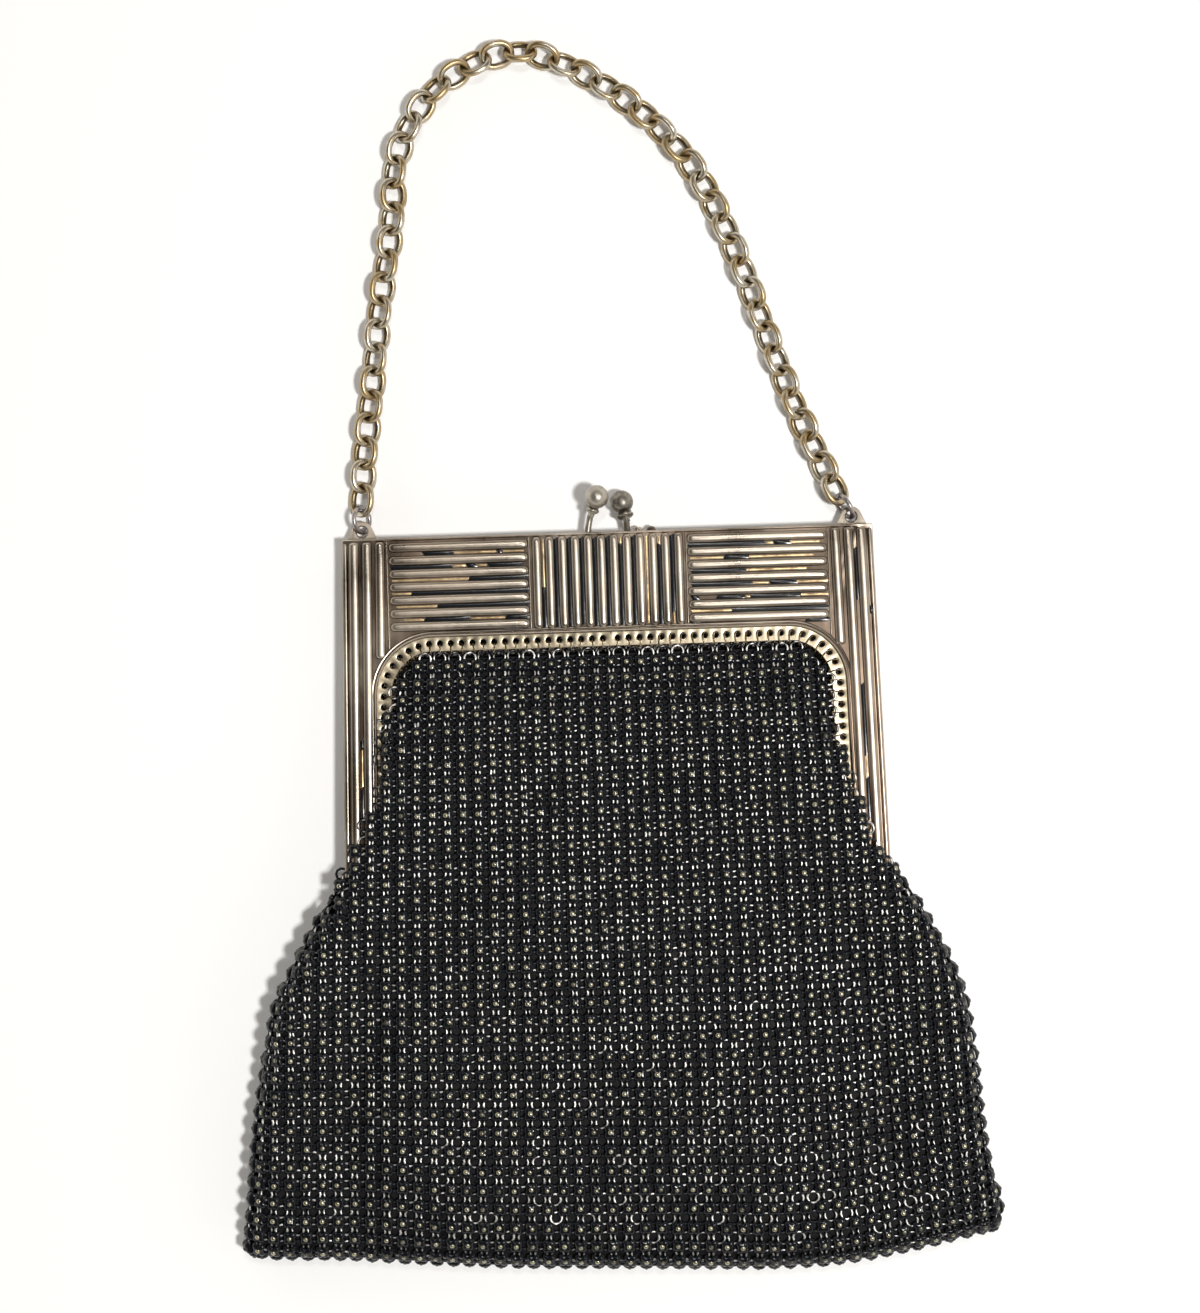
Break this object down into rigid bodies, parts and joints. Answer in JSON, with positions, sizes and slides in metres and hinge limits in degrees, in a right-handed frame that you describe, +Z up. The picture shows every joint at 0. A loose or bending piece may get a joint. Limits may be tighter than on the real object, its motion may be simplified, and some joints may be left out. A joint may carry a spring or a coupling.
{
  "type": "metal mesh purse",
  "caption": "Evening purse lying flat: a black armour-mesh bag on a reeded metal snap frame with a kiss-lock clasp and a handle chain of oval links.",
  "frame": {"origin": "on the table, under the middle of the purse's overall box", "axes": "+X along the frame to the right, +Y from the bag towards the handle chain, +Z up from the table"},
  "size_m": [0.1902, 0.3082, 0.0136],
  "materials": {
    "frame_silver": "aged silver plate with a warm brown tint, rubbed bright on the reeds, worn black enamel in the grooves",
    "chain_brass": "aged brass with worn silver plate and olive-brown recesses",
    "ring_steel": "darkened steel wire, half gloss",
    "mesh_enamel": "glossy black enamel on pressed metal plates, worn to pale brass on each raised centre"
  },
  "bodies": {
    "root": {"frame_front": "frame_silver", "frame_back": "frame_silver", "clasp_front": "frame_silver", "clasp_back": "frame_silver", "hinge_pin_left": "ring_steel", "hinge_pin_right": "ring_steel", "jump_ring_left": "ring_steel", "jump_ring_right": "ring_steel", "chain": "chain_brass", "mesh_bag": "mesh_enamel"}
  },
  "joints": []
}
